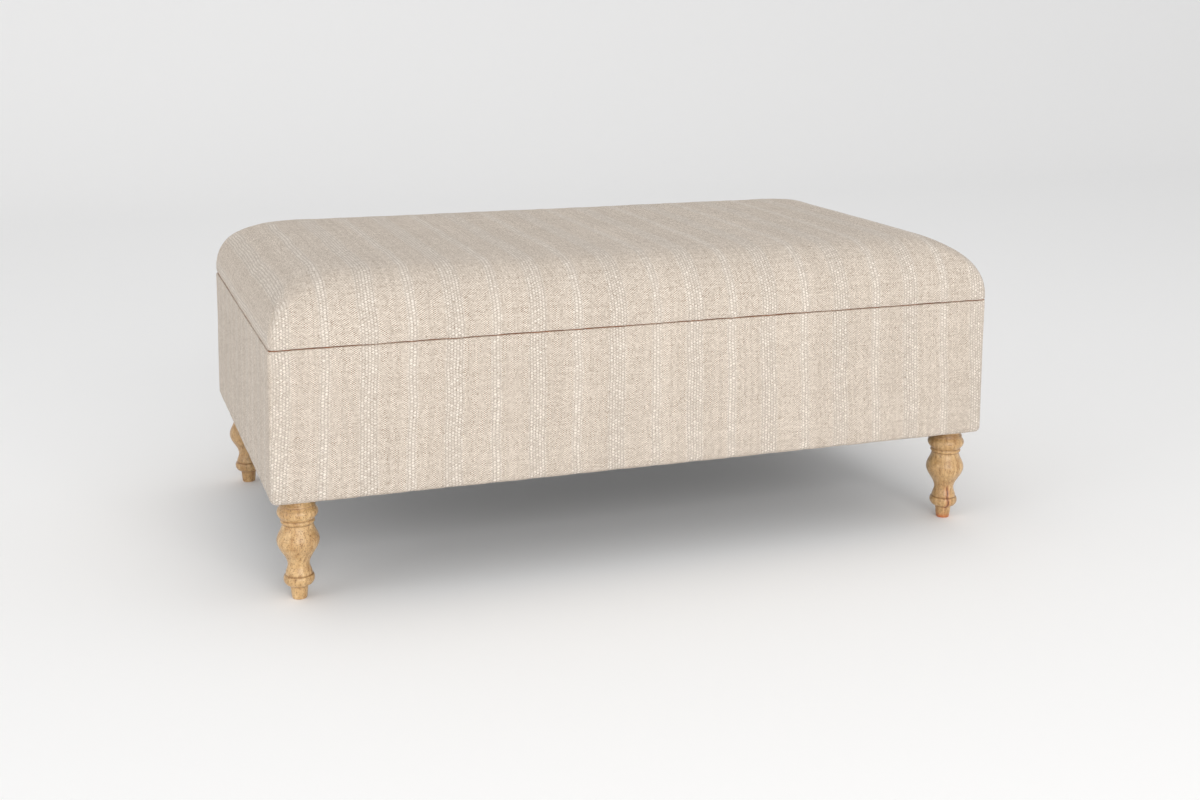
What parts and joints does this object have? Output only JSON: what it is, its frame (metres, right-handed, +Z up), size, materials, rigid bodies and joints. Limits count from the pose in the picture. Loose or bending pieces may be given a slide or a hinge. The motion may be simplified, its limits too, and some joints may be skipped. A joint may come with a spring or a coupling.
{
  "type": "storage ottoman",
  "caption": "Rectangular storage ottoman upholstered in striped oatmeal weave, with a padded hinged lid on gas struts and turned wooden legs.",
  "frame": {"origin": "on the floor under the middle of the ottoman, hinge knuckles included", "axes": "+Z up, -Y the front (the lid opens there), +X along the ottoman's length to the right seen from the front"},
  "size_m": [1.1, 0.62, 0.45],
  "materials": {
    "cover_fabric": "matte",
    "lining_fabric": "matte",
    "dust_fabric": "matte",
    "wadding": "matte",
    "foam": "matte",
    "carcass_board": "matte",
    "block_wood": "matte",
    "rim_wood": "satin",
    "leg_wood": "satin",
    "zinc_steel": "satin",
    "hinge_steel": "satin",
    "clip_steel": "satin",
    "strut_paint": "satin",
    "strut_chrome": "polished",
    "strut_plastic": "matte",
    "bumper_rubber": "matte"
  },
  "bodies": {
    "box": {"front_panel": "carcass_board", "back_panel": "carcass_board", "left_panel": "carcass_board", "right_panel": "carcass_board", "floor_panel": "carcass_board", "leg_block_front_left": "block_wood", "leg_block_front_right": "block_wood", "leg_block_back_left": "block_wood", "leg_block_back_right": "block_wood", "floor_cleat_front": "block_wood", "floor_cleat_back": "block_wood", "centre_rail": "block_wood", "carcass_screws": "zinc_steel", "floor_screws": "zinc_steel", "box_wadding": "wadding", "box_cover": "cover_fabric", "box_lining": "lining_fabric", "dust_cover": "dust_fabric", "rim_strip": "rim_wood", "leg_front_left": "leg_wood", "leg_front_right": "leg_wood", "leg_back_left": "leg_wood", "leg_back_right": "leg_wood", "hanger_bolts": "zinc_steel", "tee_nuts": "zinc_steel", "hinge_left_box_leaf": "hinge_steel", "hinge_middle_box_leaf": "hinge_steel", "hinge_right_box_leaf": "hinge_steel", "hinge_left_pin": "hinge_steel", "hinge_middle_pin": "hinge_steel", "hinge_right_pin": "hinge_steel", "hinge_box_screws": "hinge_steel", "strut_left_box_bracket": "zinc_steel", "strut_right_box_bracket": "zinc_steel", "strut_box_bracket_screws": "zinc_steel", "strut_box_clips": "clip_steel"},
    "lid": {"lid_board": "carcass_board", "lid_foam": "foam", "lid_wadding": "wadding", "lid_cover": "cover_fabric", "lid_lining": "lining_fabric", "hinge_left_lid_leaf": "hinge_steel", "hinge_middle_lid_leaf": "hinge_steel", "hinge_right_lid_leaf": "hinge_steel", "hinge_lid_screws": "hinge_steel", "strut_left_lid_bracket": "zinc_steel", "strut_right_lid_bracket": "zinc_steel", "strut_lid_bracket_screws": "zinc_steel", "strut_lid_clips": "clip_steel", "lid_bumpers": "bumper_rubber"},
    "strut_left_cylinder": {"strut_left_tube": "strut_paint", "strut_left_gland": "strut_plastic"},
    "strut_left_plunger": {"strut_left_rod": "strut_chrome", "strut_left_piston": "strut_plastic", "strut_left_rod_eye": "strut_plastic"},
    "strut_right_cylinder": {"strut_right_tube": "strut_paint", "strut_right_gland": "strut_plastic"},
    "strut_right_plunger": {"strut_right_rod": "strut_chrome", "strut_right_piston": "strut_plastic", "strut_right_rod_eye": "strut_plastic"}
  },
  "joints": [
    {"name": "lid_hinge", "type": "hinge", "parent": "box", "child": "lid", "pos_m": [0, 0.306, 0.357], "axis": [-1, 0, 0], "range_deg": [0, 75]},
    {"name": "strut_left_box_pivot", "type": "hinge", "parent": "box", "child": "strut_left_cylinder", "pos_m": [-0.515, 0.2633, 0.19762], "axis": [-1, 0, 0], "range_deg": [0, 37.5]},
    {"name": "strut_left_lid_pivot", "type": "hinge", "parent": "lid", "child": "strut_left_plunger", "pos_m": [-0.515, 0.14159, 0.343], "axis": [-1, 0, 0], "range_deg": [-37.5, 0]},
    {"name": "strut_right_box_pivot", "type": "hinge", "parent": "box", "child": "strut_right_cylinder", "pos_m": [0.515, 0.2633, 0.19762], "axis": [-1, 0, 0], "range_deg": [0, 37.5]},
    {"name": "strut_right_lid_pivot", "type": "hinge", "parent": "lid", "child": "strut_right_plunger", "pos_m": [0.515, 0.14159, 0.343], "axis": [-1, 0, 0], "range_deg": [-37.5, 0]}
  ],
  "couplings": [
    {"joint": "strut_left_box_pivot", "follows": "lid_hinge", "ratio": 0.5},
    {"joint": "strut_left_lid_pivot", "follows": "lid_hinge", "ratio": -0.5},
    {"joint": "strut_right_box_pivot", "follows": "lid_hinge", "ratio": 0.5},
    {"joint": "strut_right_lid_pivot", "follows": "lid_hinge", "ratio": -0.5}
  ]
}
